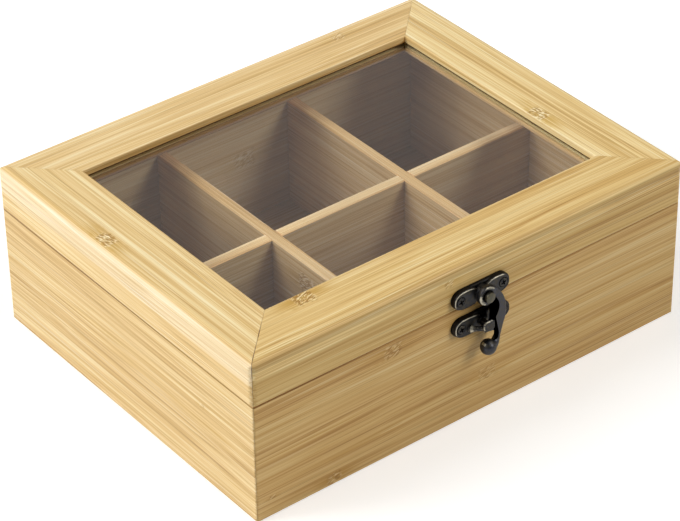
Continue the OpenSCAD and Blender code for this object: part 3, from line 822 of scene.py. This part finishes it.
def make_hook(middle, face, height, stud_y, material):
    """The arm bows out past the stud, a tooth closes under it, and the neck ends in a
    finger ball. Heights in the outline are counted from the pivot."""
    hook = Solid(middle, face, height)
    notch = [
        (STUD_R * 1.22 * math.cos(math.radians(a)), stud_y + STUD_R * 1.22 * math.sin(math.radians(a)))
        for a in (10, -10, -30, -50, -70, -88)
    ]
    arm = [
        (0.6, 3.9), (2.7, 3.5), (4.4, 2.3), (5.9, 0.5), (7.55, -1.8), (8.95, -4.8), (9.65, -7.6), (9.7, -10.9),
        (9.4, -13.9), (8.5, -16.6), (7.75, -19.3), (7.1, -21.6), (6.3, -23.4), (4.6, -24.6), (3.3, -24.4), (3.7, -23.2),
        (4.7, -22.0), (5.1, -20.6), (5.0, -19.4), (4.4, -18.6), (3.3, -18.2), (1.6, -17.9), (0.3, -17.3), (-0.1, -16.5),
    ]
    inner = [(2.7, -12.3), (4.2, -10.3), (5.0, -8.2), (5.1, -6.2), (4.4, -4.3), (3.2, -2.6), (1.6, -2.2), (0.2, 0.8)]
    outline = smooth_outline(arm + notch[::-1] + inner, 4)
    # The arm's side is painted darker as shade near the wood; its top rim is rubbed bright, partly painted highlight on
    # the side facing the lamps
    hook.stack(outline, [
        (0.30, HOOK_LOW, -0.3), (0.08, HOOK_LOW + 0.25, -0.1), (0.0, HOOK_LOW + 0.8, 0.0), (0.02, 5.15, 0.2),
        (0.14, 5.52, 0.50), (0.36, 5.80, 0.45), (0.60, 5.92, 0.12), (0.80, HOOK_HIGH, 0.02),
    ])
    # The eye's rim is rubbed bright, partly painted highlight; its recess round the rivet is painted black as shade
    hook.eye([
        (RIVET_R + 0.06, HOOK_LOW, 0), (3.9, HOOK_LOW, 0.1), (4.15, HOOK_LOW + 0.2, 0.55), (EYE_R, HOOK_LOW + 0.5, 0.2),
        (EYE_R, 5.60, 0.3), (4.10, 5.90, 0.8), (3.85, 6.06, 1.0), (3.5, 6.12, 0.7), (2.9, 6.12, 0.45),
        (2.62, 6.02, 0.3), (2.5, 5.85, -0.4), (2.5, 5.46, -0.5), (RIVET_R + 0.06, 5.46, -0.5),
    ])
    ball_x, ball_y, ball_z = 1.0, stud_y - 11.25, 5.4
    hook.tube([
        ((6.3, -20.2, 4.85), 0.95, 0.85, 0.1), ((6.15, -21.6, 4.90), 1.05, 1.0, 0.15),
        ((5.75, -22.9, 5.00), 1.2, 1.15, 0.1), ((5.0, -23.9, 5.15), 1.6, 1.5, 0.05),
        ((3.8, -24.6, 5.3), 2.2, 2.05, 0.0), ((2.6, -24.9, 5.4), 2.75, 2.6, 0.0), ((1.6, -25.0, 5.4), 3.0, 2.9, 0.0),
    ])
    # A painted highlight: the key lamp's glint on the ball, drawn as a spot of wear
    rings = []
    for k in range(1, 24):
        a = math.pi * k / 24
        ball_highlight = [
            0.75 if abs(turn - PAINTED_HIGHLIGHT_TURN) < 2 and 9 < k < 15 else 0.02
            for turn in range(TURN_STEPS)
        ]
        outline = circle((ball_x, ball_y), BALL_R * math.sin(a))
        rings.append(hook.ring([(p.x, p.y, ball_z - BALL_R * math.cos(a)) for p in outline], ball_highlight))
    hook.skin(rings)
    hook.finish("latch_hook_shape", material, "hook", "latch_hook", 50)


def make_catch(middle, face, height, material):
    plate = Solid(middle, face, height)
    plate.stack(bar_outline(-PLATE_END + 0.5, PLATE_END + CATCH_SHIFT, PLATE_HALF), PLATE_LEVELS)
    long_pad = [(x + 1.4 if x > -6 else x, y) for x, y in LEFT_PAD]
    for pad, screw in ((long_pad, -SCREW_X), (mirrored(LEFT_PAD), SCREW_X)):
        add_pad(plate, [(x + CATCH_SHIFT, y) for x, y in pad], (screw + CATCH_SHIFT, 0))
    # The stud under the head is painted black as shade
    plate.lathe((0, 0), [(2.0, 0.5, -0.5), (2.0, 2.9, -0.4), (STUD_R, 3.2, -0.4), (STUD_R, HEAD_LOW + 0.2, 0)])
    block = [
        Vector(p) for p in (
            (-1.7, -2.5), (1.7, -2.5), (2.8, -1.4), (2.8, 1.4), (1.7, 2.5), (-1.7, 2.5), (-2.8, 1.4), (-2.8, -1.4),
        )
    ]
    block = [a + (b - a) * t for a, b in zip(block, block[1:] + block[:1]) for t in (0.12, 0.5, 0.88)]
    # The head's rim is rubbed bright, partly painted highlight on the side facing the lamps
    plate.stack(block, [
        (0.35, HEAD_LOW, 0.0), (0.0, HEAD_LOW + 0.25, 0.1), (0.0, 7.10, 0.2), (0.08, 7.35, 0.65),
        (0.34, 7.66, 0.62), (0.60, 7.78, 0.3), (1.0, HEAD_HIGH, 0.3),
    ])
    plate.tube([
        ((-5.9, -1.15, 2.3), 1.35, 1.35, 0.1), ((-5.5, -1.1, 3.2), 1.5, 1.45, 0.85), ((-5.1, -1.05, 3.7), 1.3, 1.3, 0.75),
        ((-4.6, -1.0, 4.2), 1.08, 1.08, 0.40), ((-3.4, -0.85, 5.2), 1.02, 1.02, 0.45), ((-2.2, -0.65, 6.2), 1.02, 1.02, 0.3),
        ((-1.5, -0.5, 6.8), 1.02, 1.02, 0.1),
    ])
    plate.finish("catch_plate_shape", material, "base", "catch_plate", 30)


def make_latch(plated, arm, olive):
    lid_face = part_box("lid_front_rail")[0].y
    base_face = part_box("base_front_wall")[0].y
    plate_low, plate_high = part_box("latch_plate")
    catch_low, catch_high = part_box("catch_plate")
    middle = (plate_low.x + plate_high.x) / 2
    pivot = (plate_low.z + plate_high.z) / 2
    stud = (catch_low.z + catch_high.z) / 2
    make_latch_plate(middle, lid_face, pivot, plated)
    make_screws("latch_plate_screw_shapes", "latch_plate_screws", "lid", middle, lid_face, pivot, plated)
    make_rivet(middle, lid_face, pivot, olive)
    make_hook(middle, lid_face, pivot, (stud - pivot) / MM, arm)
    make_catch(middle, base_face, stud, plated)
    catch_middle = middle + CATCH_SHIFT * MM
    make_screws("catch_plate_screw_shapes", "catch_plate_screws", "base", catch_middle, base_face, stud, plated)


# Strength of the surroundings for diffuse light, for the gloss of wood and metal, and
# mirrored in the pane; the camera sees white
WORLD_LIGHT = 0.03
WORLD_GLOSS = 0.20
WORLD_IN_PANE = 0.58


def make_world():
    world = bpy.data.worlds.new("studio")
    bpy.context.scene.world = world
    world.use_nodes = True
    tree = world.node_tree
    background = tree.nodes["Background"]
    background.inputs["Color"].default_value = (1, 1, 1, 1)
    path = tree.nodes.new("ShaderNodeLightPath")
    seen = tree.nodes.new("ShaderNodeMath")
    seen.operation = "MAXIMUM"
    tree.links.new(path.outputs["Is Camera Ray"], seen.inputs[0])
    tree.links.new(path.outputs["Is Transmission Ray"], seen.inputs[1])
    strength = None
    for flag, level in (
        (path.outputs["Is Glossy Ray"], WORLD_GLOSS),
        (path.outputs["Is Singular Ray"], WORLD_IN_PANE),
        (seen.outputs[0], 1.0),
    ):
        step = tree.nodes.new("ShaderNodeMapRange")
        tree.links.new(flag, step.inputs["Value"])
        if strength is None:
            step.inputs["To Min"].default_value = WORLD_LIGHT
        else:
            tree.links.new(strength, step.inputs["To Min"])
        step.inputs["To Max"].default_value = level
        strength = step.outputs["Result"]
    tree.links.new(strength, background.inputs["Strength"])


LAMP_DISTANCE = 2.8
LAMP_SIZE = 1.19


def all_but_pane():
    """What the lamps light and show in: everything but the pane, which they would turn
    white from some sides. Their light still goes through it."""
    lit = bpy.data.collections.new("all_but_pane")
    lit.objects.link(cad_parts["window_pane"])
    lit.collection_objects[0].light_linking.link_state = "EXCLUDE"
    return lit


def lamp(lit, name, azimuth, elevation, strength, colour=(1, 1, 1)):
    """A round softbox aimed at the box. A face turned to a lamp of strength 1 renders
    at its own colour."""
    data = bpy.data.lights.new(name, "AREA")
    data.shape = "DISK"
    data.size = LAMP_SIZE
    data.energy = strength * math.pi ** 2 * LAMP_DISTANCE ** 2
    data.color = colour
    made = bpy.data.objects.new(name, data)
    bpy.context.scene.collection.objects.link(made)
    made.light_linking.receiver_collection = lit
    azimuth, elevation = math.radians(azimuth), math.radians(elevation)
    toward = Vector((
        math.cos(azimuth) * math.cos(elevation),
        math.sin(azimuth) * math.cos(elevation),
        math.sin(elevation),
    ))
    made.location = toward * LAMP_DISTANCE
    made.rotation_euler = toward.to_track_quat("Z", "Y").to_euler()


make_camera()
make_stage()
make_world()
lit = all_but_pane()
lamp(lit, "key_low", 150, 32, 0.33)
lamp(lit, "key_high", 150, 55, 0.29)
lamp(lit, "side", 180, 33, 0.18)
lamp(lit, "low_back", 122, 12, 0.38)
lamp(lit, "back", 60, 14, 0.12)
lamp(lit, "fill", 300, 32, 0.35, (1.0, 0.96, 0.88))
lamp(lit, "top_fill", 322, 55, 0.22)

dress_wood()
dress("window_pane", clear_glass())
plated = antique_metal("antique_bronze", (0.033, 0.033, 0.036), (0.052, 0.046, 0.036), (0.50, 0.46, 0.36))
arm = antique_metal("hook_bronze", (0.048, 0.049, 0.058), (0.060, 0.056, 0.048), (0.44, 0.41, 0.32))
olive = antique_metal("rubbed_bronze", (0.080, 0.076, 0.058), (0.110, 0.098, 0.066), (0.52, 0.48, 0.36))
hinge_metal = antique_metal("hinge_metal", (0.050, 0.045, 0.040), (0.13, 0.095, 0.055), (0.50, 0.42, 0.28))
for node in (
    "hinge_left_base_leaf", "hinge_left_lid_leaf", "hinge_left_pin",
    "hinge_right_base_leaf", "hinge_right_lid_leaf", "hinge_right_pin",
    "hinge_base_screws", "hinge_lid_screws",
):
    dress(node, hinge_metal)
make_latch(plated, arm, olive)

bpy.context.scene.view_settings.view_transform = "Standard"
